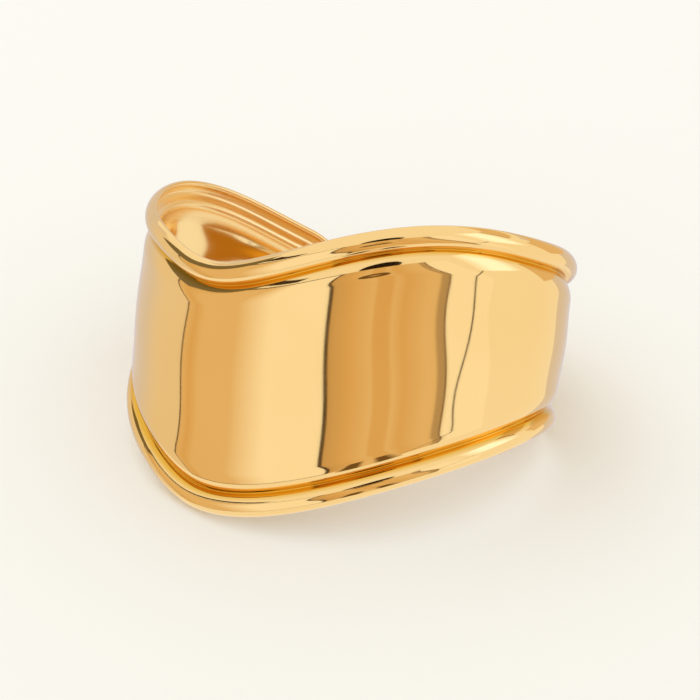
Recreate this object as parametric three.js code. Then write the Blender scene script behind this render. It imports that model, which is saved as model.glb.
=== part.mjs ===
// Cuff bracelet: one open band of polished gold-coloured metal, lying on its lower edge.
// Millimetres and degrees. +Z is up, the front of the cuff faces -Y, and the floor is z = 0.
//
// The band is made flat and then bent round an oval. Flat, it is a long leaf with a wavy upper
// and lower edge and two round ends. A bead and a groove follow its whole edge, and the sheet
// has one thickness everywhere, so the inside shows the same bead and groove from behind.
import * as THREE from "three";
import { ConvexHull } from "three/addons/math/ConvexHull.js";

// Driving sizes
const WIDTH = 64.8; // outside of the body, left to right
const DEPTH = 52; // outside of the body, front to back
const FRONT_HEIGHT = 41.5; // lower edge to upper edge at the middle of the front
const SHEET = 0.8; // thickness of the metal
const BEAD_HEIGHT = 3.55; // edge to groove
const BEAD_CREST = 1.75; // edge to the crest of the bead
const BEAD_RISE = 0.3; // crest of the bead above the body
const LIP_DROP = 1.2; // edge below the crest of the bead
const LIP_TURN = 70; // how far the bead's arc turns from its crest to the edge
const GROOVE_DEPTH = 1.25; // floor of the groove below the body
const GROOVE_TURN = 60; // how far the bead's arc turns from its crest to the groove
const SHOULDER = 3.4; // width of the rounding from the groove to the body
const SHOULDER_TURN = 60; // how far that rounding turns
const BODY_CROWN = 0.25; // how much the middle of the body stands out
const END_LENGTH = 7.5; // length of each rounded end
const LEFT_END = -168; // where the left arm ends, as an angle round the oval from the front
const RIGHT_END = 152; // where the right arm ends
const SPINE_REACH = 0.2; // how far the middle line runs into a rounded end, as a share of it
const MOST_SHOULDER = 0.75; // most of the way to the middle line that the shoulder may take
const TURN = -19.2; // how far the cuff is turned about the upright

// Mesh fineness
const END_STEPS = 12; // stations round one quarter of an end
const SIDE_STEPS = 64; // stations from end to end between the roundings
const LIP_STEPS = 3;
const FLANK_STEPS = 3;
const RIDGE_STEPS = 2;
const SHOULDER_STEPS = 4;
const BODY_STEPS = 3;
const RIM_STEPS = 3;
const ARC_STEPS = 720; // steps used to measure lengths round the oval

// The two edges, as shares of FRONT_HEIGHT above and below the middle of the front.
// Both dip at the front left and climb at the front right, and close in on each other behind.
const EDGE_SECTIONS = [
  { angle: -170, upper: 0.07, lower: -0.232 },
  { angle: -150, upper: 0.175, lower: -0.224 },
  { angle: -130, upper: 0.288, lower: -0.243 },
  { angle: -110, upper: 0.36, lower: -0.268 },
  { angle: -90, upper: 0.377, lower: -0.312 },
  { angle: -70, upper: 0.365, lower: -0.42 },
  { angle: -50, upper: 0.347, lower: -0.512 },
  { angle: -30, upper: 0.333, lower: -0.585 },
  { angle: -10, upper: 0.433, lower: -0.556 },
  { angle: 10, upper: 0.556, lower: -0.46 },
  { angle: 30, upper: 0.62, lower: -0.352 },
  { angle: 50, upper: 0.608, lower: -0.27 },
  { angle: 70, upper: 0.543, lower: -0.226 },
  { angle: 90, upper: 0.455, lower: -0.232 },
  { angle: 110, upper: 0.343, lower: -0.273 },
  { angle: 130, upper: 0.25, lower: -0.24 },
  { angle: 150, upper: 0.189, lower: -0.192 },
  { angle: 170, upper: 0.135, lower: -0.16 },
];

const GOLD = { color: 0xdca85a, roughness: 0.12, metalness: 1 };

const radians = THREE.MathUtils.degToRad;

// Point on the oval at an angle from the front, on the outside of the body.
function ovalPoint(angle) {
  const x = (WIDTH / 2) * Math.sin(radians(angle));
  const y = -(DEPTH / 2) * Math.cos(radians(angle));
  return new THREE.Vector2(x, y);
}

// Outward direction of the oval at the same angle.
function ovalNormal(angle) {
  const x = Math.sin(radians(angle)) / WIDTH;
  const y = -Math.cos(radians(angle)) / DEPTH;
  return new THREE.Vector2(x, y).normalize();
}

// Lengths round the oval from the front, listed against the angle.
function measureOval() {
  const rows = [{ angle: -180, length: 0 }];
  for (let step = 1; step <= ARC_STEPS; step++) {
    const angle = -180 + (360 * step) / ARC_STEPS;
    const before = rows[step - 1];
    const stride = ovalPoint(angle).distanceTo(ovalPoint(before.angle));
    rows.push({ angle, length: before.length + stride });
  }
  const atFront = rows[ARC_STEPS / 2].length;
  return rows.map((row) => ({ angle: row.angle, length: row.length - atFront }));
}

const OVAL = measureOval();

// Value of one column of the oval's list at a value of the other column.
function readOval(from, to, value) {
  let low = 0;
  let high = OVAL.length - 1;
  while (high - low > 1) {
    const middle = (low + high) >> 1;
    if (OVAL[middle][from] <= value) low = middle;
    else high = middle;
  }
  const share = (value - OVAL[low][from]) / (OVAL[high][from] - OVAL[low][from]);
  return THREE.MathUtils.lerp(OVAL[low][to], OVAL[high][to], share);
}

const lengthAt = (angle) => readOval("angle", "length", angle);
const angleAt = (length) => readOval("length", "angle", length);

const edges = new THREE.CubicInterpolant(
  EDGE_SECTIONS.map((row) => row.angle),
  EDGE_SECTIONS.flatMap((row) => [row.upper, row.lower]),
  2,
);

// Middle height and half height of the flat band at a length along it.
function bandAt(length) {
  const [upper, lower] = edges.evaluate(angleAt(length));
  return {
    middle: (FRONT_HEIGHT * (upper + lower)) / 2,
    half: (FRONT_HEIGHT * (upper - lower)) / 2,
  };
}

// Stations from the left tip to the right tip. Each has its length along the band, its share
// of the half height, and the matching place on the middle line, which stops short of the tip.
function makeStations() {
  const left = lengthAt(LEFT_END);
  const right = lengthAt(RIGHT_END);
  const leftStart = left + END_LENGTH;
  const rightStart = right - END_LENGTH;
  const stations = [];
  for (let step = 0; step < END_STEPS; step++) {
    const swing = (Math.PI / 2) * (1 - step / END_STEPS);
    const back = -END_LENGTH * Math.sin(swing);
    stations.push({ length: leftStart + back, share: Math.cos(swing), spine: leftStart + back * SPINE_REACH });
  }
  for (let step = 0; step <= SIDE_STEPS; step++) {
    const length = THREE.MathUtils.lerp(leftStart, rightStart, step / SIDE_STEPS);
    stations.push({ length, share: 1, spine: length });
  }
  for (let step = 1; step <= END_STEPS; step++) {
    const swing = ((Math.PI / 2) * step) / END_STEPS;
    const out = END_LENGTH * Math.sin(swing);
    stations.push({ length: rightStart + out, share: Math.cos(swing), spine: rightStart + out * SPINE_REACH });
  }
  return stations;
}

// One side of a rounding, from its crest outwards, as offsets and falls: a part of an ellipse that
// has the given reach and drop at its end.
function roll(reach, drop, turn, steps) {
  const last = radians(turn);
  const points = [];
  for (let step = 0; step <= steps; step++) {
    const swing = (last * step) / steps;
    const offset = (reach * Math.sin(swing)) / Math.sin(last);
    points.push({ offset, fall: (drop * (1 - Math.cos(swing))) / (1 - Math.cos(last)) });
  }
  return points;
}

// Section of the outside near the edge: how far in from the edge, and how far out from the body.
// The bead and the shoulder both end on the floor of the groove.
function outerProfile() {
  const lip = roll(BEAD_CREST, LIP_DROP, LIP_TURN, LIP_STEPS).slice(1).reverse();
  const flank = roll(BEAD_HEIGHT - BEAD_CREST, BEAD_RISE + GROOVE_DEPTH, GROOVE_TURN, FLANK_STEPS);
  const shoulder = roll(SHOULDER, GROOVE_DEPTH, SHOULDER_TURN, SHOULDER_STEPS).reverse();
  const bodyStart = BEAD_HEIGHT + SHOULDER;
  return {
    bead: [
      ...lip.map(({ offset, fall }) => new THREE.Vector2(BEAD_CREST - offset, BEAD_RISE - fall)),
      ...flank.map(({ offset, fall }) => new THREE.Vector2(BEAD_CREST + offset, BEAD_RISE - fall)),
    ],
    shoulder: shoulder.map(({ offset, fall }) => new THREE.Vector2(bodyStart - offset, -fall)),
  };
}

// A run of the outside moved in by the sheet's thickness, square to the section.
function moveIn(run) {
  return run.map((point, index) => {
    const before = run[Math.max(index - 1, 0)];
    const after = run[Math.min(index + 1, run.length - 1)];
    const along = after.clone().sub(before).normalize();
    return new THREE.Vector2(point.x + along.y * SHEET, point.y - along.x * SHEET);
  });
}

// The inside of the sheet. Behind the groove it turns round the groove's floor, as a blunt ridge.
function innerProfile({ bead, shoulder }) {
  const insideBead = moveIn(bead);
  const insideShoulder = moveIn(shoulder);
  const floor = shoulder[0];
  const from = insideBead.at(-1).clone().sub(floor);
  const to = insideShoulder[0].clone().sub(floor);
  const ridge = [];
  for (let step = 1; step < RIDGE_STEPS; step++) {
    const between = from.clone().lerp(to, step / RIDGE_STEPS);
    ridge.push(between.setLength(SHEET).add(floor));
  }
  return [...insideBead, ...ridge, ...insideShoulder];
}

// Half round of the sheet's bare edge, from the inside skin to the outside skin.
function rimProfile(outerEdge, innerEdge) {
  const centre = outerEdge.clone().add(innerEdge).divideScalar(2);
  const across = innerEdge.clone().sub(centre);
  const points = [];
  for (let step = 1; step < RIM_STEPS; step++) {
    const swing = (Math.PI * step) / RIM_STEPS;
    points.push(across.clone().rotateAround(new THREE.Vector2(), swing).add(centre));
  }
  return points;
}

// Rows of the section, from the middle of the outside, round the bare edge, to the middle of the inside.
// A row has an inset from the edge and, on the body, a share of the way from the shoulder to the middle.
function makeRows() {
  const profile = outerProfile();
  const outer = [...profile.bead, ...profile.shoulder.slice(1)];
  const inner = innerProfile(profile);
  const bodyRows = (skin) => {
    const rows = [];
    for (let step = 1; step <= BODY_STEPS; step++) {
      const share = step / BODY_STEPS;
      const rise = (BODY_CROWN * (1 - Math.cos(Math.PI * share))) / 2 - skin;
      rows.push({ inset: BEAD_HEIGHT + SHOULDER, share, rise });
    }
    return rows;
  };
  const edgeRows = (points) => points.map((point) => ({ inset: point.x, share: 0, rise: point.y }));
  return [
    ...bodyRows(0).reverse(),
    ...edgeRows(outer).reverse(),
    ...edgeRows(rimProfile(outer[0], inner[0])).reverse(),
    ...edgeRows(inner),
    ...bodyRows(SHEET),
  ];
}

// Closed outline of the flat band: along the upper edge to the right tip and back along the lower edge.
function makeOutline(stations) {
  const place = (station, side) => {
    const { middle, half } = bandAt(station.length);
    return {
      edge: new THREE.Vector2(station.length, middle + side * half * station.share),
      spine: new THREE.Vector2(station.spine, bandAt(station.spine).middle),
    };
  };
  const upper = stations.map((station) => place(station, 1));
  const lower = stations.slice(1, -1).reverse().map((station) => place(station, -1));
  const outline = [...upper, ...lower];
  outline.forEach((point, index) => {
    const before = outline[(index + outline.length - 1) % outline.length].edge;
    const after = outline[(index + 1) % outline.length].edge;
    const along = after.clone().sub(before).normalize();
    point.inward = new THREE.Vector2(along.y, -along.x);
  });
  return outline;
}

// Place of one flat point in space: round the oval by its length, up by its height, out by its rise.
function bend(flat, rise) {
  const angle = angleAt(flat.x);
  const plan = ovalPoint(angle).addScaledVector(ovalNormal(angle), rise);
  return new THREE.Vector3(plan.x, plan.y, flat.y);
}

// Flat place of one row at one point of the outline. As far in as the groove it goes square to the
// edge. Past it, it goes straight on towards the middle line: over the shoulder, which is drawn in
// where the band is narrow, and then by its share of what is left.
function flatPlace(row, { edge, inward, spine }) {
  const groove = edge.clone().addScaledVector(inward, BEAD_HEIGHT);
  const onward = spine.clone().sub(groove);
  const left = onward.length();
  const shoulder = Math.min(SHOULDER, MOST_SHOULDER * left);
  const past = Math.max(row.inset - BEAD_HEIGHT, 0) / SHOULDER;
  const travel = past * shoulder + row.share * (left - shoulder);
  const flat = edge.clone().addScaledVector(inward, Math.min(row.inset, BEAD_HEIGHT));
  return flat.addScaledVector(onward, travel / left);
}

// The whole cuff as one closed skin, upright in its own frame.
function makeBand() {
  const stations = makeStations();
  const outline = makeOutline(stations);
  const rows = makeRows();
  const columns = outline.length;
  const lastRow = rows.length - 1;
  const positions = [];
  for (const row of rows) {
    for (const point of outline) {
      positions.push(...bend(flatPlace(row, point), row.rise).toArray());
    }
  }
  // On the middle line the upper and the lower half share their points.
  const vertex = (row, column) => {
    const turned = column % columns;
    const onSpine = row === 0 || row === lastRow;
    const folded = onSpine && turned > columns / 2 ? columns - turned : turned;
    return row * columns + folded;
  };
  const triangles = [];
  const add = (a, b, c) => {
    if (a !== b && b !== c && c !== a) triangles.push(a, b, c);
  };
  for (let row = 0; row < lastRow; row++) {
    for (let column = 0; column < columns; column++) {
      const a = vertex(row, column);
      const b = vertex(row, column + 1);
      const c = vertex(row + 1, column + 1);
      const d = vertex(row + 1, column);
      add(a, b, c);
      add(a, c, d);
    }
  }
  const geometry = new THREE.BufferGeometry();
  geometry.setAttribute("position", new THREE.Float32BufferAttribute(positions, 3));
  geometry.setIndex(triangles);
  return geometry;
}

const cornersOf = (geometry, triangle) =>
  [0, 1, 2].map((corner) =>
    new THREE.Vector3().fromBufferAttribute(
      geometry.getAttribute("position"),
      geometry.index.getX(3 * triangle + corner),
    ),
  );

// Centre of mass of a closed mesh, from the tetrahedra between its triangles and the origin.
function massCentre(geometry) {
  const sum = new THREE.Vector3();
  let volume = 0;
  for (let triangle = 0; triangle < geometry.index.count / 3; triangle++) {
    const [a, b, c] = cornersOf(geometry, triangle);
    const piece = a.dot(b.clone().cross(c)) / 6;
    sum.addScaledVector(a.add(b).add(c), piece / 4);
    volume += piece;
  }
  return sum.divideScalar(volume);
}

// Direction in which the cuff's own weight pulls when it lies at rest: the outward direction of
// the face of its convex hull that is most nearly below it and has the centre of mass over it.
function restingDirection(geometry) {
  const centre = massCentre(geometry);
  const attribute = geometry.getAttribute("position");
  const used = new Set(geometry.index.array);
  const points = [...used].map((index) => new THREE.Vector3().fromBufferAttribute(attribute, index));
  const hull = new ConvexHull().setFromPoints(points);
  let best = new THREE.Vector3(0, 0, 1);
  for (const face of hull.faces) {
    const first = face.edge;
    const triangle = new THREE.Triangle(first.head().point, first.next.head().point, first.prev.head().point);
    const foot = new THREE.Vector3();
    new THREE.Plane().setFromNormalAndCoplanarPoint(face.normal, face.midpoint).projectPoint(centre, foot);
    if (triangle.containsPoint(foot) && face.normal.z < best.z) best = face.normal.clone();
  }
  return best;
}

// Lay the band down on the floor, turn it, and centre it over the origin.
function layDown(geometry) {
  const rest = new THREE.Quaternion();
  rest.setFromUnitVectors(restingDirection(geometry), new THREE.Vector3(0, 0, -1));
  geometry.applyQuaternion(rest);
  geometry.rotateZ(radians(TURN));
  geometry.computeBoundingBox();
  const { min, max } = geometry.boundingBox;
  geometry.translate(-(min.x + max.x) / 2, -(min.y + max.y) / 2, -min.z);
  return geometry;
}

function makeCuff() {
  const geometry = layDown(makeBand());
  geometry.computeVertexNormals();
  const cuff = new THREE.Mesh(geometry, new THREE.MeshStandardMaterial(GOLD));
  cuff.name = "cuff";
  return cuff;
}

const bracelet = new THREE.Group();
bracelet.add(makeCuff());

export default bracelet;
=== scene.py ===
"""Looks for the cuff bracelet: the polished band, the studio round it and the camera.

The band is worked out flat, as a leaf with a wavy outline, and then bent round an oval, exactly
as the solid is, but with a much finer grid. Lengths are in millimetres until a mesh is written,
and angles are in degrees.
"""

import logging
from dataclasses import dataclass, field
from enum import Enum
from typing import Union

import bpy
import numpy as np
from mathutils import Matrix, Vector


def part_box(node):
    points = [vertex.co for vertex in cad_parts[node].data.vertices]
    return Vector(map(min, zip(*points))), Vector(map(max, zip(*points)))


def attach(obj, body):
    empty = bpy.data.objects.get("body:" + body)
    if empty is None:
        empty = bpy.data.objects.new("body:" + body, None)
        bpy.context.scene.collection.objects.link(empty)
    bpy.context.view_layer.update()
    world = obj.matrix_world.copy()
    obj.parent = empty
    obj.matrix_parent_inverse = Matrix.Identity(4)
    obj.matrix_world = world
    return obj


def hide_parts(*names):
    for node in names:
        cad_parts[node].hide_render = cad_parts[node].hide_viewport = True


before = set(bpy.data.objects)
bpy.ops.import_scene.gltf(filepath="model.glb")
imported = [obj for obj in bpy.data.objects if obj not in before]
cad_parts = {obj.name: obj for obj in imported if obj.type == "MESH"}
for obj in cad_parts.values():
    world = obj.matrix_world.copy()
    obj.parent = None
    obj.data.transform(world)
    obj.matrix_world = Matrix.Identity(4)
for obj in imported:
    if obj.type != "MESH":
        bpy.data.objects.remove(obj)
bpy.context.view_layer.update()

MM = 0.001
IMAGE_PIXELS = 700
SCREEN_HALF = 330.0
LOG = logging.getLogger("cuff_bracelet")

Array = np.ndarray
Colour = tuple[float, float, float]


class Skin(Enum):
    """The two faces of the sheet, with the value that marks each in the mesh."""

    OUTSIDE = 1.0
    INSIDE = 0.0


class Tone(Enum):
    """Light that each kind of reflected card gives off."""

    WHITE = (1.0, 1.0, 1.0)
    TAN = (0.78, 0.6, 0.38)
    AMBER = (0.72, 0.5, 0.25)
    BROWN = (0.6, 0.42, 0.22)
    GREY = (0.47, 0.36, 0.23)
    PALE_GREY = (0.72, 0.7, 0.76)
    HAZE = (0.82, 0.74, 0.64)
    LINE = (0.05, 0.03, 0.012)
    DARK = (0.02, 0.012, 0.005)
    # Painted shade: the floor inside the band in shade, tinted by light bounced off the gold.
    SHADED_FLOOR_AMBER = (0.44, 0.17, 0.006)
    SHADED_FLOOR_ORANGE = (0.8, 0.38, 0.03)
    UMBER = (0.17, 0.1, 0.035)
    OLIVE = (0.2, 0.17, 0.1)
    BRIGHT = (1.35, 1.38, 1.7)


# Tones across a card, each with its place from 0 at one side to 1 at the other.
Stops = tuple[tuple[float, Tone], ...]


def natural_spline(knots: Array, values: Array, at: Array) -> Array:
    """Smooth curve through knots at equal spacing.

    A cubic with matching slope and bend at each knot, and no bend at the two ends: the bends m
    solve m[i-1] + 4 m[i] + m[i+1] = 6 (v[i-1] - 2 v[i] + v[i+1]) / step squared.

    Args:
        knots: Places of the knots, equally spaced.
        values: Value at each knot.
        at: Places to read.

    Returns:
        The curve's value at each place.
    """
    step = knots[1] - knots[0]
    inner = len(knots) - 2
    system = 4 * np.eye(inner) + np.eye(inner, k=1) + np.eye(inner, k=-1)
    second = 6 * (values[:-2] - 2 * values[1:-1] + values[2:]) / step**2
    bend = np.concatenate([[0.0], np.linalg.solve(system, second), [0.0]])
    low = np.clip(((at - knots[0]) / step).astype(int), 0, len(knots) - 2)
    share = (at - knots[low]) / step
    rest = 1 - share
    curve = bend[low] * (rest**3 - rest) + bend[low + 1] * (share**3 - share)
    return rest * values[low] + share * values[low + 1] + curve * step**2 / 6


@dataclass(frozen=True)
class Oval:
    """Plan of the cuff: an ellipse walked by arc length from the middle of the front."""

    width: float = 64.8
    depth: float = 52.0
    steps: int = 7200

    def point(self, angle: Array) -> Array:
        """Plan point: x = half width times sine, y = minus half depth times cosine."""
        turn = np.radians(angle)
        return np.stack([self.width / 2 * np.sin(turn), -self.depth / 2 * np.cos(turn)], axis=-1)

    def normal(self, angle: Array) -> Array:
        """Outward unit direction: (sine over width, minus cosine over depth), made length one.

        Args:
            angle: Angles from the middle of the front.

        Returns:
            One direction in plan for each angle.
        """
        turn = np.radians(angle)
        out = np.stack([np.sin(turn) / self.width, -np.cos(turn) / self.depth], axis=-1)
        return out / np.linalg.norm(out, axis=-1, keepdims=True)

    def table(self) -> tuple[Array, Array]:
        """Walk once round the oval.

        Returns:
            Angles from -180 to 180, and the arc length from the front to each.
        """
        angles = np.linspace(-180.0, 180.0, self.steps + 1)
        strides = np.linalg.norm(np.diff(self.point(angles), axis=0), axis=1)
        lengths = np.concatenate([[0.0], np.cumsum(strides)])
        return angles, lengths - lengths[self.steps // 2]

    def length_at(self, angle: float) -> float:
        """Arc length from the front to an angle."""
        angles, lengths = self.table()
        return float(np.interp(angle, angles, lengths))

    def angle_at(self, length: Array) -> Array:
        """Angle at each arc length from the front."""
        angles, lengths = self.table()
        return np.interp(length, lengths, angles)


@dataclass(frozen=True)
class Section:
    """Section of the sheet near its edge, in insets from the edge and rises from the body.

    Attributes:
        sheet: Thickness of the sheet.
        bead_height: Width of the bead, from the edge to the groove's floor.
        bead_crest: Inset of the bead's crest.
        bead_rise: Rise of the crest.
        lip_drop: Fall from the crest to the edge.
        lip_turn: Swing of the bead's outer side.
        groove_depth: How far the groove's floor lies under the body.
        groove_turn: Swing of the bead's inner side.
        groove_round: Half width of the running mean that rounds the groove's floor.
        groove_blend: How many of those widths the rounding reaches each way.
        shoulder: Width of the roll from the groove up to the body.
        shoulder_turn: Swing of that roll.
        body_crown: Swell of the body at its middle line.
        fine_steps: Steps of each arc, before the rows are chosen.
        edge_rows: Rows over the bead and the shoulder, on each skin.
        body_rows: Rows over the body, on each skin.
        rim_rows: Rows round the bare edge.
    """

    sheet: float = 0.8
    bead_height: float = 3.55
    bead_crest: float = 1.75
    bead_rise: float = 0.3
    lip_drop: float = 1.2
    lip_turn: float = 70.0
    groove_depth: float = 1.25
    groove_turn: float = 60.0
    groove_round: float = 0.1
    groove_blend: float = 3.0
    shoulder: float = 3.4
    shoulder_turn: float = 60.0
    body_crown: float = 0.25
    fine_steps: int = 1600
    edge_rows: int = 58
    body_rows: int = 10
    rim_rows: int = 8

    @property
    def width(self) -> float:
        """Inset at which the plain body begins."""
        return self.bead_height + self.shoulder

    def roll(self, reach: float, drop: float, turn: float) -> tuple[Array, Array]:
        """One side of a rounding, from its crest outwards.

        An ellipse's arc: offset = reach times sine of swing over sine of turn, and fall = drop
        times (1 - cosine of swing) over (1 - cosine of turn).

        Args:
            reach: Offset at the end of the arc.
            drop: Fall at the end of the arc.
            turn: Swing at the end of the arc.

        Returns:
            Offsets and falls.
        """
        swing = np.linspace(0.0, np.radians(turn), self.fine_steps)
        offset = reach * np.sin(swing) / np.sin(swing[-1])
        return offset, drop * (1 - np.cos(swing)) / (1 - np.cos(swing[-1]))

    def outer_curve(self) -> tuple[Array, Array]:
        """The outside near the edge, finely stepped and with the groove's floor rounded.

        The bead rolls from its crest to the lip and to the groove, and the shoulder rolls from
        the body down to the groove. A short running mean rounds the crease where they meet.

        Returns:
            Insets and rises.
        """
        lip, lip_fall = self.roll(self.bead_crest, self.lip_drop, self.lip_turn)
        flank = self.bead_height - self.bead_crest
        side, side_fall = self.roll(flank, self.bead_rise + self.groove_depth, self.groove_turn)
        edge, edge_fall = self.roll(self.shoulder, self.groove_depth, self.shoulder_turn)
        inset = [self.bead_crest - lip[::-1], self.bead_crest + side[1:], self.width - edge[-2::-1]]
        rise = [self.bead_rise - lip_fall[::-1], self.bead_rise - side_fall[1:], -edge_fall[-2::-1]]
        even = np.linspace(0.0, self.width, self.fine_steps)
        level = np.interp(even, np.concatenate(inset), np.concatenate(rise))
        window = np.hanning(2 * int(self.groove_round / self.width * self.fine_steps) + 1)
        padded = np.pad(level, len(window) // 2, mode="reflect", reflect_type="odd")
        smooth = np.convolve(padded, window / window.sum(), mode="valid")
        reach = self.groove_blend * self.groove_round
        near = np.clip(np.abs(even - self.bead_height) / reach, 0.0, 1.0)
        blend = near**2 * (3 - 2 * near)
        return even, smooth * (1 - blend) + level * blend

    def outer_rows(self) -> tuple[Array, Array]:
        """Rows of the outside, closer together on the bead's flanks and in the groove.

        Returns:
            Insets and rises.
        """
        even, level = self.outer_curve()
        travel = np.concatenate([[0.0], np.cumsum(np.hypot(np.diff(even), np.diff(level)))])
        stops = np.linspace(0.0, travel[-1], self.edge_rows)
        inset = np.interp(stops, travel, even)
        return inset, np.interp(inset, even, level)

    def inner_rows(self) -> tuple[Array, Array]:
        """Rows of the inside, one sheet's thickness under the outside.

        A disc of the sheet's thickness rolls along the outside, and the inside is the lowest
        line that it reaches: the least of rise - square root of (sheet squared - offset squared).

        Returns:
            Insets and rises.
        """
        even, level = self.outer_curve()
        first = (level[1] - level[0]) / (even[1] - even[0])
        start = self.sheet * first / np.hypot(1.0, first)
        stops = np.linspace(start, self.width, self.edge_rows)
        reach = np.linspace(0.0, self.width + self.sheet, 4 * self.fine_steps)
        out = np.interp(reach, even, level)
        offset = stops[:, None] - reach[None, :]
        drop = np.sqrt(np.clip(self.sheet**2 - offset**2, 0.0, None))
        rise = np.where(np.abs(offset) < self.sheet, out[None, :] - drop, np.inf).min(axis=1)
        return stops, rise

    def rim(self, outer: tuple[float, float], inner: tuple[float, float]) -> tuple[Array, Array]:
        """Half round of the bare edge, from the outside skin to the inside skin.

        Args:
            outer: Inset and rise of the outside skin's edge.
            inner: Inset and rise of the inside skin's edge.

        Returns:
            Insets and rises, without the two given points.
        """
        first, last = np.array(outer), np.array(inner)
        centre = (first + last) / 2
        arm = first - centre
        side = np.array([-arm[1], arm[0]])
        turn = np.linspace(0.0, np.pi, self.rim_rows + 2)[1:-1, None]
        points = centre + arm * np.cos(turn) + side * np.sin(turn)
        return points[:, 0], points[:, 1]

    def body(self, skin: float) -> tuple[Array, Array]:
        """Rows over the body: shares of the way to the middle line, and their rises.

        The crown swells as (1 - cosine of half a turn times the share) / 2.

        Args:
            skin: How far this skin lies under the outside.

        Returns:
            Shares and rises.
        """
        share = np.linspace(0.0, 1.0, self.body_rows + 1)[1:]
        return share, self.body_crown * (1 - np.cos(np.pi * share)) / 2 - skin


@dataclass(frozen=True)
class Rest:
    """How the cuff lies on the floor: a tilt about a level axis, then a turn about the upright."""

    tilt: float = 18.558
    axis: float = 172.69
    turn: float = -19.2

    def matrix(self) -> Array:
        """Turning matrix: identity + sine K + (1 - cosine) K K for the tilt, then the turn.

        Returns:
            Three by three matrix.
        """
        lean, heading = np.radians(self.tilt), np.radians(self.axis)
        x, y = np.cos(heading), np.sin(heading)
        cross = np.array([[0.0, 0.0, y], [0.0, 0.0, -x], [-y, x, 0.0]])
        tilt = np.eye(3) + np.sin(lean) * cross + (1 - np.cos(lean)) * cross @ cross
        turn = np.radians(self.turn)
        spin = np.array(
            [[np.cos(turn), -np.sin(turn), 0.0], [np.sin(turn), np.cos(turn), 0.0], [0.0, 0.0, 1.0]]
        )
        return spin @ tilt


# Heights of the two edges at each angle round the oval, as shares of the front height.
EDGE_ANGLES = np.arange(-170.0, 171.0, 20.0)
UPPER_EDGE = np.array(
    [0.07, 0.175, 0.288, 0.36, 0.377, 0.365, 0.347, 0.333, 0.433]
    + [0.556, 0.62, 0.608, 0.543, 0.455, 0.343, 0.25, 0.189, 0.135]
)
LOWER_EDGE = np.array(
    [-0.232, -0.224, -0.243, -0.268, -0.312, -0.42, -0.512, -0.585, -0.556]
    + [-0.46, -0.352, -0.27, -0.226, -0.232, -0.273, -0.24, -0.192, -0.16]
)


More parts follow.
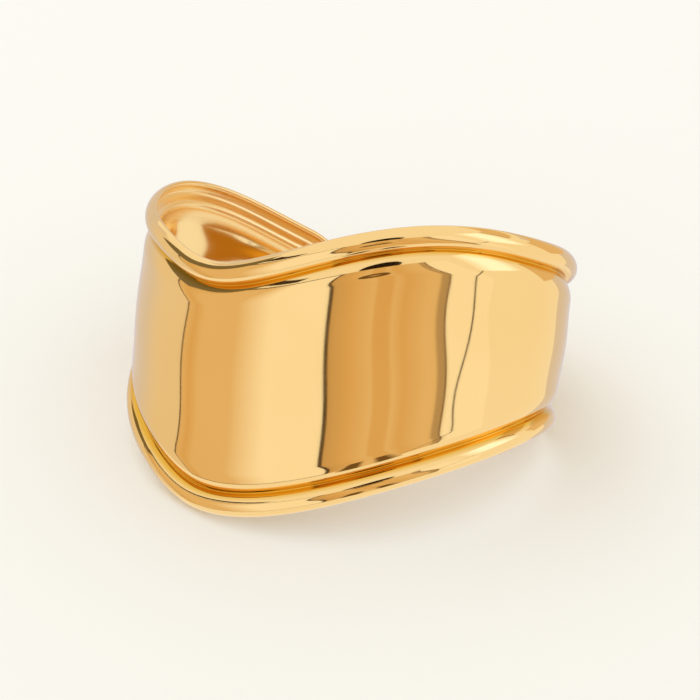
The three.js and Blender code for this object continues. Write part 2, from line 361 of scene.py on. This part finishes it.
@dataclass(frozen=True)
class Cuff:
    """The whole band, one closed skin.

    Attributes:
        front_height: Height that the shares of the edges are multiplied by.
        end_length: Length of each rounded end.
        left_end: Angle of the left tip round the oval.
        right_end: Angle of the right tip.
        spine_reach: How far the middle line goes on into an end, as a share of its length.
        most_shoulder: Most of the way from the groove to the middle line for the shoulder.
        oval: The plan.
        section: The section near the edge.
        rest: How the cuff lies.
        end_steps: Columns round each quarter of an end.
        side_steps: Columns between the ends, along each edge.
        body_mark: How far the inset attribute counts up over the body.
    """

    front_height: float = 41.5
    end_length: float = 7.5
    left_end: float = -168.0
    right_end: float = 152.0
    spine_reach: float = 0.2
    most_shoulder: float = 0.75
    oval: Oval = field(default_factory=Oval)
    section: Section = field(default_factory=Section)
    rest: Rest = field(default_factory=Rest)
    end_steps: int = 44
    side_steps: int = 250
    body_mark: float = 20.0

    def edges(self, length: Array) -> tuple[Array, Array]:
        """Edges of the flat band.

        Args:
            length: Lengths along the band.

        Returns:
            Middle height and half height at each length.
        """
        angle = self.oval.angle_at(length)
        upper = natural_spline(EDGE_ANGLES, UPPER_EDGE, angle)
        lower = natural_spline(EDGE_ANGLES, LOWER_EDGE, angle)
        return self.front_height * (upper + lower) / 2, self.front_height * (upper - lower) / 2

    def stations(self) -> tuple[Array, Array, Array]:
        """Stations from the left tip to the right tip.

        Returns:
            Length along the band, share of the half height, and place on the middle line.
        """
        left = self.oval.length_at(self.left_end) + self.end_length
        right = self.oval.length_at(self.right_end) - self.end_length
        swing = np.linspace(np.pi / 2, 0.0, self.end_steps + 1)[:-1]
        back = -self.end_length * np.sin(swing)
        side = np.linspace(left, right, self.side_steps + 1)
        out = -back[::-1]
        length = np.concatenate([left + back, side, right + out])
        share = np.concatenate([np.cos(swing), np.ones_like(side), np.cos(swing)[::-1]])
        spine = np.concatenate([left + back * self.spine_reach, side, right + out * self.spine_reach])
        return length, share, spine

    def outline(self) -> tuple[Array, Array, Array]:
        """Closed outline of the flat band, right along the upper edge and back along the lower.

        Returns:
            Edge points, unit directions into the band, and matching points on the middle line.
        """
        length, share, spine = self.stations()
        middle, half = self.edges(length)
        spine_points = np.stack([spine, self.edges(spine)[0]], axis=1)
        upper = np.stack([length, middle + half * share], axis=1)
        lower = np.stack([length, middle - half * share], axis=1)
        edge = np.concatenate([upper, lower[-2:0:-1]])
        spines = np.concatenate([spine_points, spine_points[-2:0:-1]])
        along = np.roll(edge, -1, axis=0) - np.roll(edge, 1, axis=0)
        along /= np.linalg.norm(along, axis=1, keepdims=True)
        return edge, np.stack([along[:, 1], -along[:, 0]], axis=1), spines

    def rows(self) -> dict[str, Array]:
        """Rows of the section, from the middle of the outside to the middle of the inside.

        Returns:
            Columns inset, share, rise and skin, with one entry for each row.
        """
        outer_in, outer_rise = self.section.outer_rows()
        inner_in, inner_rise = self.section.inner_rows()
        first, last = (outer_in[0], outer_rise[0]), (inner_in[0], inner_rise[0])
        rim_in, rim_rise = self.section.rim(first, last)
        share, out_body = self.section.body(0.0)
        _, in_body = self.section.body(self.section.sheet)
        deep = np.full_like(share, self.section.width)
        none = np.zeros_like
        inset = np.concatenate([deep, outer_in[::-1], rim_in, inner_in, deep])
        shares = np.concatenate([share[::-1], none(outer_in), none(rim_in), none(inner_in), share])
        rise = np.concatenate([out_body[::-1], outer_rise[::-1], rim_rise, inner_rise, in_body])
        outside = len(share) + len(outer_in) + len(rim_in) // 2
        skin = np.where(np.arange(len(inset)) < outside, Skin.OUTSIDE.value, Skin.INSIDE.value)
        return {"inset": inset, "share": shares, "rise": rise, "skin": skin}

    def surface(self, rows: dict[str, Array]) -> Array:
        """Points of the whole skin in the floor's frame, a grid of rows by columns.

        As far in as the groove, a flat point is the edge point plus inset times the inward
        direction. Past it, the point goes straight on towards the middle line: over the shoulder,
        which is drawn in where the band is narrow, and then by its share of what is left. Bent,
        it is the oval's point at its length plus rise times the oval's normal, at its own height.

        Args:
            rows: The rows of the section.

        Returns:
            Points in millimetres, rows by columns by three.
        """
        edge, inward, spine = self.outline()
        groove = self.section.bead_height
        flat = edge[None] + np.minimum(rows["inset"], groove)[:, None, None] * inward[None]
        onward = spine - (edge + groove * inward)
        left = np.linalg.norm(onward, axis=1)
        shoulder = np.minimum(self.section.shoulder, self.most_shoulder * left)
        past = np.clip(rows["inset"] - groove, 0.0, None) / self.section.shoulder
        travel = past[:, None] * shoulder + rows["share"][:, None] * (left - shoulder)
        flat += (travel / left)[..., None] * onward[None]
        angle = self.oval.angle_at(flat[..., 0])
        plan = self.oval.point(angle) + rows["rise"][:, None, None] * self.oval.normal(angle)
        upright = np.concatenate([plan, flat[..., 1:2]], axis=-1)
        return upright @ self.rest.matrix().T

    def settle(self, points: Array) -> Array:
        """Move points onto the place of the solid: same middle in plan, same floor.

        Args:
            points: Points in millimetres.

        Returns:
            Points in metres.
        """
        low, high = (np.array(corner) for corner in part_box("cuff"))
        metres = points * MM
        flat = metres.reshape(-1, 3)
        shift = (low + high - flat.min(axis=0) - flat.max(axis=0)) / 2
        shift[2] = low[2] - flat[:, 2].min()
        return metres + shift

    def build(self) -> bpy.types.Object:
        """Make the mesh, with the inset and the skin kept as attributes for the finish.

        The columns run round the outline. In the first and the last row they lie on the middle
        line, where the upper half meets the lower, so those points are shared. On the body the
        inset attribute also counts up by body_mark times the share, well past the section.

        Returns:
            The band.
        """
        rows = self.rows()
        points = self.settle(self.surface(rows))
        count, columns = points.shape[:2]
        ids = np.arange(count * columns).reshape(count, columns)
        half = columns // 2
        for row in (0, -1):
            ids[row, half + 1 :] = ids[row, 1:half][::-1]
        ring = np.concatenate([ids, ids[:, :1]], axis=1)
        quads = grid_quads(ring)
        used, faces = np.unique(quads, return_inverse=True)
        mesh = bpy.data.meshes.new("cuff_band")
        mesh.vertices.add(len(used))
        mesh.vertices.foreach_set("co", points.reshape(-1, 3)[used].ravel())
        mesh.loops.add(faces.size)
        mesh.loops.foreach_set("vertex_index", faces.ravel())
        mesh.polygons.add(len(quads))
        mesh.polygons.foreach_set("loop_start", np.arange(0, faces.size, 4))
        mesh.polygons.foreach_set("use_smooth", np.ones(len(quads), dtype=bool))
        mesh.update(calc_edges=True)
        marks = {"inset": rows["inset"] + self.body_mark * rows["share"], "skin": rows["skin"]}
        for name, values in marks.items():
            layer = mesh.attributes.new(name, "FLOAT", "POINT")
            layer.data.foreach_set("value", np.repeat(values, columns)[used].astype(np.float32))
        mesh.validate()
        cuff = bpy.data.objects.new("cuff_band", mesh)
        bpy.context.scene.collection.objects.link(cuff)
        return cuff


def grid_quads(ids: Array) -> Array:
    """Four corners of each cell of a grid of vertex numbers, rows by columns."""
    corners = [ids[:-1, :-1], ids[:-1, 1:], ids[1:, 1:], ids[1:, :-1]]
    return np.stack(corners, axis=-1).reshape(-1, 4)


Value = Union["Signal", float]


class Signal:
    """A shader value that can be added, subtracted and multiplied like a number."""

    def __init__(self, tree: bpy.types.NodeTree, socket: bpy.types.NodeSocket) -> None:
        """Wrap one output socket of a node tree."""
        self.tree = tree
        self.socket = socket

    def _math(self, operation: str, first: Value, second: Value) -> "Signal":
        """Add one Math node.

        Args:
            operation: The node's operation.
            first: Its first value.
            second: Its second value.

        Returns:
            The node's result.
        """
        node = self.tree.nodes.new("ShaderNodeMath")
        node.operation = operation
        for slot, value in zip(node.inputs, (first, second)):
            if isinstance(value, Signal):
                self.tree.links.new(value.socket, slot)
            else:
                slot.default_value = value
        return Signal(self.tree, node.outputs[0])

    def __add__(self, other: Value) -> "Signal":
        """Sum."""
        return self._math("ADD", self, other)

    __radd__ = __add__

    def __mul__(self, other: Value) -> "Signal":
        """Product."""
        return self._math("MULTIPLY", self, other)

    __rmul__ = __mul__

    def __sub__(self, other: Value) -> "Signal":
        """Difference."""
        return self._math("SUBTRACT", self, other)

    def __rsub__(self, other: Value) -> "Signal":
        """Difference the other way round."""
        return self._math("SUBTRACT", other, self)


# Places of a colour Mix node's sockets, which share their names with its other kinds' sockets.
MIX_SHARE = 0
MIX_FIRST = 6
MIX_SECOND = 7
MIX_RESULT = 2


class Shader:
    """A material's node tree, with short ways to add nodes."""

    def __init__(self, name: str) -> None:
        """Make an empty material with one Principled shader."""
        self.material = bpy.data.materials.new(name)
        self.material.use_nodes = True
        self.tree = self.material.node_tree
        self.surface = self.tree.nodes["Principled BSDF"]

    def node(
        self, kind: str, settings: dict | None = None, sockets: dict | None = None
    ) -> bpy.types.Node:
        """Add one node.

        Args:
            kind: The node's type name.
            settings: Properties set first.
            sockets: Values or Signals for its inputs, by name.

        Returns:
            The node.
        """
        made = self.tree.nodes.new(kind)
        for key, value in (settings or {}).items():
            setattr(made, key, value)
        for key, value in (sockets or {}).items():
            self.feed(made.inputs[key], value)
        return made

    def feed(self, socket: bpy.types.NodeSocket, value: object) -> None:
        """Link a Signal or a socket to an input, or set the input's value.

        Args:
            socket: The input.
            value: What it gets.
        """
        if isinstance(value, Signal):
            self.tree.links.new(value.socket, socket)
        elif isinstance(value, bpy.types.NodeSocket):
            self.tree.links.new(value, socket)
        else:
            socket.default_value = value

    def surface_feed(self, **values: object) -> None:
        """Feed the shader's own inputs, named with _ for each space."""
        for name, value in values.items():
            self.feed(self.surface.inputs[name.replace("_", " ")], value)

    def attribute(self, name: str) -> Signal:
        """A mesh attribute as a number."""
        made = self.node("ShaderNodeAttribute", {"attribute_name": name})
        return Signal(self.tree, made.outputs["Fac"])

    def noise(self, scale: float, detail: float = 2.0) -> Signal:
        """Smooth noise on the piece's own coordinates.

        Args:
            scale: Grains to the metre.
            detail: Layers of finer grain.

        Returns:
            The noise.
        """
        place = self.node("ShaderNodeTexCoord").outputs["Object"]
        made = self.node(
            "ShaderNodeTexNoise", sockets={"Vector": place, "Scale": scale, "Detail": detail}
        )
        return Signal(self.tree, made.outputs["Fac"])

    def mix(self, share: Signal, first: object, second: object) -> bpy.types.NodeSocket:
        """Colour between two colours.

        Args:
            share: Share of the second colour.
            first: A colour or a colour socket.
            second: A colour or a colour socket.

        Returns:
            The colour socket.
        """
        made = self.node("ShaderNodeMix", {"data_type": "RGBA"})
        self.feed(made.inputs[MIX_SHARE], share)
        for place, colour in ((MIX_FIRST, first), (MIX_SECOND, second)):
            self.feed(made.inputs[place], (*colour, 1.0) if isinstance(colour, tuple) else colour)
        return made.outputs[MIX_RESULT]

    def ramp(self, value: Signal, stops: list[tuple[float, Colour]]) -> bpy.types.NodeSocket:
        """Colour that runs through the stops as the value goes from 0 to 1.

        Args:
            value: The number that drives the ramp.
            stops: Places and colours.

        Returns:
            The colour socket.
        """
        made = self.node("ShaderNodeValToRGB", sockets={"Fac": value})
        bar = made.color_ramp.elements
        for index, (place, colour) in enumerate(stops):
            stop = bar[index] if index < len(bar) else bar.new(place)
            stop.position = place
            stop.color = (*colour, 1.0)
        return made.outputs["Color"]

    def mask(self, value: Signal, stops: tuple[tuple[float, float], ...]) -> Signal:
        """Number that runs through the stops as the value goes from 0 to 1."""
        grey = self.ramp(value, [(place, (level,) * 3) for place, level in stops])
        return Signal(self.tree, grey)


@dataclass(frozen=True)
class PolishedGold:
    """Mirror-polished yellow gold, with painted shade in the grooves and a painted tint inside.

    Attributes:
        face: Lighter tone of the outside.
        warm: Deeper tone of the outside.
        groove: Painted shade of the groove's floor: a deeper orange, for light bounced between its
            walls.
        inside: Painted tint of the inside, a little paler than the outside, for light bounced within
            the band.
        groove_inset: Inset of the groove's floor.
        groove_spread: Half width of the painted groove shade.
        groove_mask: Strength of the painted groove shade across its width.
        drift_scale: Grain of the drift between the outside's two tones.
        drift_ends: Noise at which the drift is all deep and all light.
        roughness: Least roughness.
        haze: Most that polishing haze adds to it.
        haze_scale: Grain of the haze.
        haze_detail: Layers of finer grain in the haze.
        inside_roughness: What the whole inside adds.
        channel_roughness: What the channel behind the bead adds to that.
        channel_inset: Inset at which the channel's extra roughness has half faded out.
        channel_mask: How it fades out, over twice that inset.
        ripple_scale: Grain of the ripple.
        ripple_height: Height of the ripple in metres.
    """

    face: Colour = (1.0, 0.7, 0.31)
    warm: Colour = (0.98, 0.67, 0.28)
    groove: Colour = (0.82, 0.46, 0.06)
    inside: Colour = (1.0, 0.735, 0.35)
    groove_inset: float = 3.55
    groove_spread: float = 0.9
    groove_mask: tuple[tuple[float, float], ...] = ((0.0, 0.0), (0.32, 1.0), (0.68, 1.0), (1.0, 0.0))
    drift_scale: float = 45.0
    drift_ends: tuple[float, float] = (0.3, 0.7)
    roughness: float = 0.045
    haze: float = 0.03
    haze_scale: float = 220.0
    haze_detail: float = 4.0
    inside_roughness: float = 0.05
    channel_roughness: float = 0.17
    channel_inset: float = 6.4
    channel_mask: tuple[tuple[float, float], ...] = ((0.0, 1.0), (0.45, 1.0), (0.55, 0.0), (1.0, 0.0))
    ripple_scale: float = 60.0
    ripple_height: float = 0.000006

    def tone(self, shader: Shader) -> bpy.types.NodeSocket:
        """Base colour: a drift between two golds, painted tint inside, painted shade in the groove.

        Args:
            shader: The material's node tree.

        Returns:
            The colour socket.
        """
        drift = shader.noise(self.drift_scale)
        tone = shader.ramp(drift, list(zip(self.drift_ends, (self.warm, self.face))))
        # Painted light: a paler tint on the inside skin for light bounced within the band.
        tone = shader.mix(1 - shader.attribute("skin"), tone, self.inside)
        # Painted shade: a deeper orange along the groove's floor on the outside, for light bounced
        # between its walls.
        near = (shader.attribute("inset") - self.groove_inset) * (0.5 / self.groove_spread) + 0.5
        deep = shader.mask(near, self.groove_mask) * shader.attribute("skin")
        return shader.mix(deep, tone, self.groove)

    def polish(self, shader: Shader) -> Signal:
        """Roughness: a faint drifting haze, with more behind the bead and a little more inside.

        Args:
            shader: The material's node tree.

        Returns:
            The roughness.
        """
        haze = shader.noise(self.haze_scale, self.haze_detail)
        edge = shader.attribute("inset") * (0.5 / self.channel_inset)
        channel = shader.mask(edge, self.channel_mask)
        behind = channel * self.channel_roughness + self.inside_roughness
        return haze * self.haze + self.roughness + (1 - shader.attribute("skin")) * behind

    def material(self) -> bpy.types.Material:
        """Make the material, with a slow shallow ripple that bends the reflections a little.

        Returns:
            The material.
        """
        shader = Shader("polished_gold")
        shader.surface_feed(Base_Color=self.tone(shader), Roughness=self.polish(shader))
        shader.surface_feed(Metallic=1.0)
        ripple = {"Strength": 1.0, "Distance": self.ripple_height}
        ripple["Height"] = shader.noise(self.ripple_scale, 1.0)
        bump = shader.node("ShaderNodeBump", sockets=ripple)
        shader.surface_feed(Normal=bump.outputs["Normal"])
        return shader.material


def glow(name: str, stops: Stops) -> bpy.types.Material:
    """A surface that only gives off light.

    Args:
        name: Name of the material.
        stops: Tones along the surface's own attribute across.

    Returns:
        The material.
    """
    shader = Shader(name)
    tones = [(place, tone.value) for place, tone in stops]
    lit = shader.ramp(shader.attribute("across"), tones)
    shader.surface_feed(Base_Color=(0.0, 0.0, 0.0, 1.0), Specular_IOR_Level=0.0)
    shader.surface_feed(Emission_Color=lit, Emission_Strength=1.0)
    return shader.material


def stage_sheet(name: str, points: Array, faces: Array, across: Array, stops: Stops) -> None:
    """Make one glowing stage object that only mirrors see.

    Args:
        name: Name of the object and of its material.
        points: Its points in millimetres.
        faces: Vertex numbers of its faces.
        across: Place of each point along the tones.
        stops: The tones.
    """
    mesh = bpy.data.meshes.new(name)
    mesh.from_pydata((points.reshape(-1, 3) * MM).tolist(), [], faces.tolist())
    layer = mesh.attributes.new("across", "FLOAT", "POINT")
    layer.data.foreach_set("value", across.ravel().astype(np.float32))
    mesh.materials.append(glow(name, stops))
    sheet = bpy.data.objects.new(name, mesh)
    bpy.context.scene.collection.objects.link(sheet)
    sheet.visible_camera = False
    sheet.visible_diffuse = False
    sheet.visible_shadow = False


def single(tone: Tone) -> Stops:
    """The stops of a card of one tone."""
    return ((0.0, tone), (1.0, tone))


@dataclass(frozen=True)
class Card:
    """One reflected card: a strip of a round screen about the cuff.

    Attributes:
        name: Name of the object.
        start: Azimuth of its left side, from the camera's side towards the right.
        end: Azimuth of its right side.
        stops: Tones from its left side to its right side.
        layer: How many layers it stands in front of the screen.
        bottom: Height of its lower edge.
        top: Height of its upper edge.
        lean: How far its upper edge is moved to the right of its lower edge, in degrees.
        twist: How far its left side swings, which sets mirrored lines upright.
        end_twist: The same for the right side, if it differs.
        twist_height: Height over which the swing happens.
        radius: Radius of the screen.
        layer_gap: Distance between layers.
        steps: Cells from side to side.
        levels: Cells from bottom to top.
    """

    name: str
    start: float
    end: float
    stops: Stops
    layer: int = 0
    bottom: float = -SCREEN_HALF
    top: float = SCREEN_HALF
    lean: float = 0.0
    twist: float = -12.0
    end_twist: float | None = None
    twist_height: float = 180.0
    radius: float = 500.0
    layer_gap: float = 5.0
    steps: int = 48
    levels: int = 40

    def build(self) -> None:
        """Make the strip: x = radius sine, y = - radius cosine of the azimuth at each height.

        The azimuth is moved by lean times the share of the height, and by twist times the
        hyperbolic tangent of height over the twist's height.
        """
        share = np.linspace(0.0, 1.0, self.steps + 1)[None, :]
        rise = np.linspace(0.0, 1.0, self.levels + 1)[:, None]
        height = self.bottom + (self.top - self.bottom) * rise
        last = self.twist if self.end_twist is None else self.end_twist
        twist = self.twist + (last - self.twist) * share
        swing = self.lean * rise + twist * np.tanh(height / self.twist_height)
        turn = np.radians(self.start + (self.end - self.start) * share + swing)
        radius = self.radius - self.layer * self.layer_gap
        x, y = radius * np.sin(turn), -radius * np.cos(turn)
        points = np.stack([x, y, np.broadcast_to(height, x.shape)], axis=-1)
        quads = grid_quads(np.arange(x.size).reshape(x.shape))
        stage_sheet(self.name, points, quads, np.broadcast_to(share, x.shape), self.stops)


@dataclass(frozen=True)
class FloorCard:
    """One reflected patch of painted floor shade.

    Attributes:
        name: Name of the object.
        left: Its left side.
        right: Its right side.
        front: Its side towards the camera.
        back: Its side away from the camera.
        stops: Tones from its left side to its right side.
        height: How far it lies above the floor.
    """

    name: str
    left: float
    right: float
    front: float
    back: float
    stops: Stops
    height: float = 0.05

    def build(self) -> None:
        """Lay the patch."""
        corners = [(self.left, self.front), (self.right, self.front)]
        corners += [(self.right, self.back), (self.left, self.back)]
        points = np.array([(x, y, self.height) for x, y in corners])
        faces = np.arange(len(corners))[None]
        stage_sheet(self.name, points, faces, np.array([0.0, 1.0, 1.0, 0.0]), self.stops)


@dataclass(frozen=True)
class Disc:
    """One reflected disc.

    Attributes:
        name: Name of the object.
        centre: Its middle.
        across: Arm from its middle to its side.
        up: Arm from its middle to its top.
        stops: Tones from its rim to its middle.
        sides: Corners of its rim.
    """

    name: str
    centre: Array
    across: Array
    up: Array
    stops: Stops
    sides: int = 48

    def build(self) -> None:
        """Make the disc as a fan: rim = centre + cosine times across + sine times up."""
        turn = np.linspace(0.0, 2 * np.pi, self.sides, endpoint=False)[:, None]
        ring = self.centre + np.cos(turn) * self.across + np.sin(turn) * self.up
        points = np.concatenate([ring, self.centre[None]])
        first = np.arange(self.sides)
        fan = np.stack([first, np.roll(first, -1), np.full_like(first, self.sides)], axis=1)
        stage_sheet(self.name, points, fan, np.append(np.zeros(self.sides), 1.0), self.stops)


@dataclass(frozen=True)
class Eye:
    """The camera, and the dark round of it that the bead and the shoulder mirror.

    Attributes:
        aim: Point that it looks at.
        distance: Distance from there.
        elevation: How far it looks down.
        roll: How far it is rolled, as the cuff lies a little rolled in the picture.
        focal_pixels: Focal length in pixels of the picture.
        sensor: Width of its sensor.
        near: Nearest distance that it sees.
        shift_pixels: Sideways shift of the picture.
        shade_distance: Distance of the dark round from the aim.
        shade_radius: Radius of the dark round.
        shade_offset: How far the dark round stands to the right of the camera.
    """

    aim: tuple[float, float, float] = (-0.116, 0.408, 12.3)
    distance: float = 600.0
    elevation: float = 36.936
    roll: float = -1.694
    focal_pixels: float = 4000.0
    sensor: float = 36.0
    near: float = 10.0
    shift_pixels: float = 1.0
    shade_distance: float = 640.0
    shade_radius: float = 125.0
    shade_offset: float = -110.0

    def axes(self) -> tuple[Vector, Vector, Vector]:
        """Directions of the camera.

        Returns:
            Right, up and back.
        """
        rise, roll = np.radians(self.elevation), np.radians(self.roll)
        back = Vector((0.0, -np.cos(rise), np.sin(rise)))
        level = Vector((1.0, 0.0, 0.0))
        upright = back.cross(level)
        right = level * np.cos(roll) + upright * np.sin(roll)
        return right, upright * np.cos(roll) - level * np.sin(roll), back

    def camera(self) -> None:
        """Set the camera at the photo's angle to the cuff."""
        right, up, back = self.axes()
        lens = bpy.data.cameras.new("camera")
        lens.sensor_width = self.sensor
        lens.lens = self.sensor * self.focal_pixels / IMAGE_PIXELS
        lens.shift_x = self.shift_pixels / IMAGE_PIXELS
        lens.clip_start = self.near * MM
        camera = bpy.data.objects.new("camera", lens)
        place = (Vector(self.aim) + back * self.distance) * MM
        turn = Matrix((right, up, back)).transposed().to_4x4()
        camera.matrix_world = Matrix.Translation(place) @ turn
        bpy.context.scene.collection.objects.link(camera)
        bpy.context.scene.camera = camera

    def shade(self) -> None:
        """Set the dark disc behind the camera, a little to its left."""
        right, up, back = (np.array(axis) for axis in self.axes())
        centre = np.array(self.aim) + back * self.shade_distance + right * self.shade_offset
        across, rise = right * self.shade_radius, up * self.shade_radius
        Disc("camera_shade", centre, across, rise, single(Tone.DARK)).build()


# Tones of the cards that have more than one.
LEFT_TONES = (
    (0.0, Tone.TAN),
    (0.08, Tone.AMBER),
    (0.16, Tone.TAN),
    (0.42, Tone.TAN),
    (0.66, Tone.WHITE),
    (1.0, Tone.WHITE),
)
MIDDLE_TONES = (
    (0.0, Tone.BROWN),
    (0.18, Tone.AMBER),
    (0.36, Tone.TAN),
    (0.38, Tone.AMBER),
    (0.5, Tone.AMBER),
    (0.53, Tone.TAN),
    (0.62, Tone.AMBER),
    (0.82, Tone.TAN),
    (0.9, Tone.TAN),
    (0.925, Tone.GREY),
    (1.0, Tone.GREY),
)
FAR_TONES = ((0.0, Tone.PALE_GREY), (0.5, Tone.HAZE), (1.0, Tone.HAZE))
BRIGHT_TONES = ((0.0, Tone.WHITE), (0.3, Tone.BRIGHT), (0.7, Tone.BRIGHT), (1.0, Tone.WHITE))
# Painted shade of the floor inside the band, tinted by light bounced off the gold.
SHADED_FLOOR_TONES = (
    (0.0, Tone.SHADED_FLOOR_ORANGE),
    (0.3, Tone.SHADED_FLOOR_ORANGE),
    (0.5, Tone.SHADED_FLOOR_AMBER),
    (1.0, Tone.SHADED_FLOOR_AMBER),
)
# Painted shade: dark streaks on the floor before the band.
FLOOR_SHADE_STREAK_TONES = (
    (0.0, Tone.TAN),
    (0.1, Tone.UMBER),
    (0.3, Tone.UMBER),
    (0.4, Tone.TAN),
    (0.55, Tone.TAN),
    (0.65, Tone.UMBER),
    (0.8, Tone.UMBER),
    (1.0, Tone.TAN),
)
LENS_TONES = ((0.0, Tone.LINE), (0.12, Tone.UMBER), (0.5, Tone.UMBER), (1.0, Tone.BROWN))


@dataclass(frozen=True)
class Studio:
    """Pale floor, soft light and the cards that the polished metal mirrors.

    The panel is the tall brown card in the middle, and each line is a thin dark edge of a card.

    Attributes:
        floor_size: Side of the floor.
        floor_colour: Colour of the floor.
        floor_roughness: Roughness of the floor.
        sky_colour: Colour of the light from all round.
        sky_strength: Strength of that light.
        key_power: Power of the lamp in watts.
        key_size: Side of the lamp.
        key_place: Where the lamp hangs.
        left_side: Azimuth of the left card's left side.
        left_panel_gap: Azimuth of its right side, beside the panel.
        panel_right: Azimuth of the panel's right side.
        panel_right_twist: How far that side swings.
        edge_line_height: Height of the lines along the screen's lower and upper edge.
        lens_azimuth: Azimuth of the small dark oval.
        lens_distance: Distance of the oval from the middle.
        lens_height: Height of the oval above the floor.
        lens_half_width: Half the oval's width.
        lens_half_height: Half the oval's height.
    """

    floor_size: float = 6000.0
    floor_colour: Colour = (0.94, 0.938, 0.905)
    floor_roughness: float = 0.8
    sky_colour: Colour = (1.0, 0.985, 0.94)
    sky_strength: float = 0.95
    key_power: float = 1.0
    key_size: float = 600.0
    key_place: tuple[float, float, float] = (-300.0, 250.0, 900.0)
    left_side: float = -93.9
    left_panel_gap: float = -21.4
    panel_right: float = 25.8
    panel_right_twist: float = -9.0
    edge_line_height: float = 16.0
    lens_azimuth: float = -6.0
    lens_distance: float = 110.0
    lens_height: float = 55.0
    lens_half_width: float = 14.0
    lens_half_height: float = 9.5

    def floor(self) -> None:
        """Lay the floor, which mirrors don't see."""
        half = self.floor_size / 2 * MM
        mesh = bpy.data.meshes.new("floor")
        corners = [(-half, -half, 0.0), (half, -half, 0.0), (half, half, 0.0), (-half, half, 0.0)]
        mesh.from_pydata(corners, [], [(0, 1, 2, 3)])
        floor = bpy.data.objects.new("floor", mesh)
        bpy.context.scene.collection.objects.link(floor)
        shader = Shader("pale_floor")
        shader.surface_feed(Base_Color=(*self.floor_colour, 1.0), Roughness=self.floor_roughness)
        shader.surface_feed(Specular_IOR_Level=0.0)
        mesh.materials.append(shader.material)
        floor.visible_glossy = False

    def sky(self) -> None:
        """Set even pale light from all round, and show its colours as they are."""
        world = bpy.data.worlds.new("studio_air")
        world.use_nodes = True
        background = world.node_tree.nodes["Background"]
        background.inputs["Color"].default_value = (*self.sky_colour, 1.0)
        background.inputs["Strength"].default_value = self.sky_strength
        bpy.context.scene.world = world
        bpy.context.scene.view_settings.view_transform = "Standard"

    def key(self) -> None:
        """Hang one large soft lamp above and behind."""
        lamp = bpy.data.lights.new("key_lamp", "AREA")
        lamp.energy = self.key_power
        lamp.size = self.key_size * MM
        key = bpy.data.objects.new("key_lamp", lamp)
        key.location = Vector(self.key_place) * MM
        key.rotation_euler = (-key.location).to_track_quat("-Z", "Y").to_euler()
        key.visible_glossy = False
        bpy.context.scene.collection.objects.link(key)

    def front_cards(self) -> list[Card]:
        """The cards that the front of the band mirrors, from left to right.

        Returns:
            The cards.
        """
        line, umber, white = single(Tone.LINE), single(Tone.UMBER), single(Tone.WHITE)
        left, gap, right = self.left_side, self.left_panel_gap, self.panel_right
        low, high = self.edge_line_height - SCREEN_HALF, SCREEN_HALF - self.edge_line_height
        turn = self.panel_right_twist
        return [
            Card("card_left", left, gap, LEFT_TONES),
            Card("card_far_left", -138.0, left, FAR_TONES),
            Card("line_left", -94.8, -93.8, line, layer=1),
            Card("line_middle", -22.2, -20.6, line, layer=1),
            Card("line_low", left, gap, line, layer=1, top=low),
            Card("line_high", left, gap, line, layer=1, bottom=high),
            Card("card_middle", -20.8, right, MIDDLE_TONES, end_twist=turn),
            Card("line_panel", 25.2, 26.0, umber, layer=1, twist=turn),
            Card("card_strip", right, 45.0, white),
            Card("line_right", 17.0, 18.1, line, layer=2, lean=53.0, twist=0.0),
        ]

    def side_cards(self) -> list[Card]:
        """The cards that the beads, the shoulders and the sides mirror.

        Returns:
            The cards.
        """
        grey, olive, tan = single(Tone.PALE_GREY), single(Tone.OLIVE), single(Tone.TAN)
        line, dark = single(Tone.LINE), single(Tone.DARK)
        # Each has its name, left and right azimuth, tones, layer, bottom, top and radius.
        rows = (
            ("card_back", 118.0, 242.0, grey, 0, -1200.0, SCREEN_HALF, 900.0),
            ("card_leaf", -124.0, -98.0, olive, 3, 175.0, 385.0, 500.0),
            ("card_end", 100.0, 146.0, tan, 5, -100.0, 130.0, 500.0),
            ("line_high_left", -104.0, -66.0, line, 3, 350.0, 420.0, 500.0),
            ("card_bright", 46.0, 88.0, BRIGHT_TONES, 4, 60.0, 520.0, 500.0),
            ("card_shade", 96.0, 150.0, tan, 6, 250.0, 500.0, 500.0),
            ("line_shade", 94.0, 96.5, dark, 7, 240.0, 510.0, 500.0),
        )
        return [
            Card(name, start, end, stops, layer, bottom, top, twist=0.0, radius=radius)
            for name, start, end, stops, layer, bottom, top, radius in rows
        ]

    def floor_cards(self) -> list[FloorCard]:
        """Painted floor shade that the metal mirrors: amber inside the band, dark streaks before it.
        """
        return [
            # Painted shade: the floor inside the band, amber from light bounced off the gold.
            FloorCard("floor_inside_painted_shade", -16.0, 25.0, -14.0, 8.5, SHADED_FLOOR_TONES),
            # Painted shade: dark streaks on the floor before the band.
            FloorCard("floor_before_painted_shade", -4.0, 13.0, -60.0, -40.0, FLOOR_SHADE_STREAK_TONES),
        ]

    def lens(self) -> Disc:
        """The small dark oval, lighter in its middle, that the shoulder mirrors in front.

        Returns:
            The oval.
        """
        turn = np.radians(self.lens_azimuth)
        x, y = self.lens_distance * np.sin(turn), -self.lens_distance * np.cos(turn)
        across = self.lens_half_width * np.array([np.cos(turn), np.sin(turn), 0.0])
        up = np.array([0.0, 0.0, self.lens_half_height])
        return Disc("card_lens", np.array([x, y, self.lens_height]), across, up, LENS_TONES)

    def build(self) -> None:
        """Set the whole studio up."""
        self.floor()
        self.sky()
        self.key()
        cards = [*self.front_cards(), *self.side_cards(), *self.floor_cards(), self.lens()]
        for card in cards:
            card.build()
        eye = Eye()
        eye.shade()
        eye.camera()


def main() -> None:
    """Build the cuff and the studio in order and report each piece."""
    logging.basicConfig(level=logging.INFO)
    cuff = Cuff().build()
    cuff.data.materials.append(PolishedGold().material())
    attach(cuff, "root")
    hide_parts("cuff")
    LOG.info("%s: %d faces", cuff.name, len(cuff.data.polygons))
    Studio().build()
    LOG.info("studio set")


if __name__ == "__main__":
    main()
